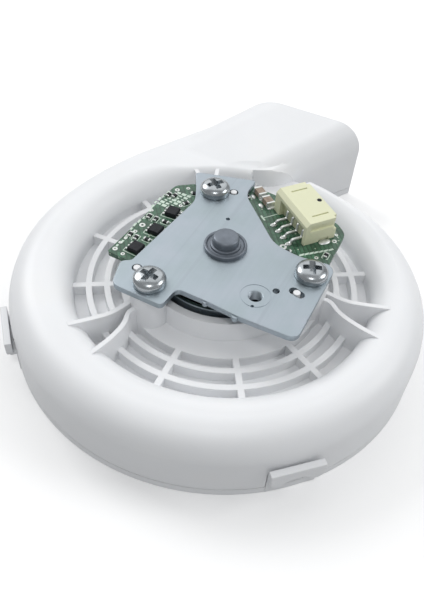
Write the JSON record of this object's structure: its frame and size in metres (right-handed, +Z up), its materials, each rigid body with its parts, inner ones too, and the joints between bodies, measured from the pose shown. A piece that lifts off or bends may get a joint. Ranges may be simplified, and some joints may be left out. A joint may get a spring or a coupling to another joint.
{
  "type": "centrifugal blower",
  "caption": "Centrifugal suction blower: snail-shell housing with a ribbed well, an outer-rotor motor on a plated bracket, a driver board with a wire connector, and an air outlet.",
  "frame": {"origin": "middle of the bounding box seen from above, on the lower cover's flat base", "axes": "+Z up along the motor axis, from the base to the bracket; +Y out of the air outlet"},
  "size_m": [0.0808, 0.094, 0.0225],
  "materials": {
    "white_plastic": "moulded, satin to semi-gloss",
    "cover_plastic": "moulded, fine matt texture",
    "seal_rubber": "soft, matt",
    "impeller_plastic": "moulded, matt",
    "brass": "turned",
    "shaft_steel": "ground",
    "zinc_steel": "pressed sheet, bright zinc plating",
    "magnet": "dark, matt",
    "hub_metal": "dark grey, satin",
    "bearing_steel": "ground",
    "lamination": "stacked sheets, dull",
    "insulator": "moulded",
    "copper_wire": "enamelled winding wire",
    "screw_steel": "bright plated",
    "board": "green solder mask over glass epoxy",
    "connector_plastic": "moulded nylon, cream",
    "chip": "moulded epoxy, matt black",
    "ceramic": "ceramic block with tinned ends",
    "tin": "tin plated"
  },
  "bodies": {
    "housing": {"upper_housing": "white_plastic", "lower_cover": "cover_plastic", "inlet_seal": "seal_rubber", "bearing_housing": "hub_metal", "hub_cap": "hub_metal", "upper_bearing": "bearing_steel", "lower_bearing": "bearing_steel", "preload_spring": "bearing_steel", "stator_core": "lamination", "stator_insulator_upper": "insulator", "stator_insulator_lower": "insulator", "coil_1": "copper_wire", "coil_2": "copper_wire", "coil_3": "copper_wire", "coil_4": "copper_wire", "coil_5": "copper_wire", "coil_6": "copper_wire", "coil_7": "copper_wire", "coil_8": "copper_wire", "coil_9": "copper_wire", "motor_bracket": "zinc_steel", "screw_1": "screw_steel", "screw_2": "screw_steel", "screw_3": "screw_steel", "driver_board": "board", "connector_housing": "connector_plastic", "connector_pin_1": "tin", "connector_pin_2": "tin", "connector_pin_3": "tin", "connector_pin_4": "tin", "mosfet_1": "chip", "mosfet_2": "chip", "mosfet_3": "chip", "capacitor_1": "ceramic", "capacitor_2": "ceramic", "driver_ic": "chip", "hall_sensor_1": "chip", "hall_sensor_2": "chip", "hall_sensor_3": "chip"},
    "rotor": {"impeller_wheel": "impeller_plastic", "impeller_shroud": "impeller_plastic", "impeller_bush": "brass", "motor_shaft": "shaft_steel", "shaft_clip": "bearing_steel", "rotor_cup": "zinc_steel", "rotor_magnet": "magnet"}
  },
  "joints": [
    {"name": "rotor_spin", "type": "hinge", "parent": "housing", "child": "rotor", "pos_m": [0.00064, -0.0062, 0.01], "axis": [0, 0, 1], "continuous": true}
  ]
}
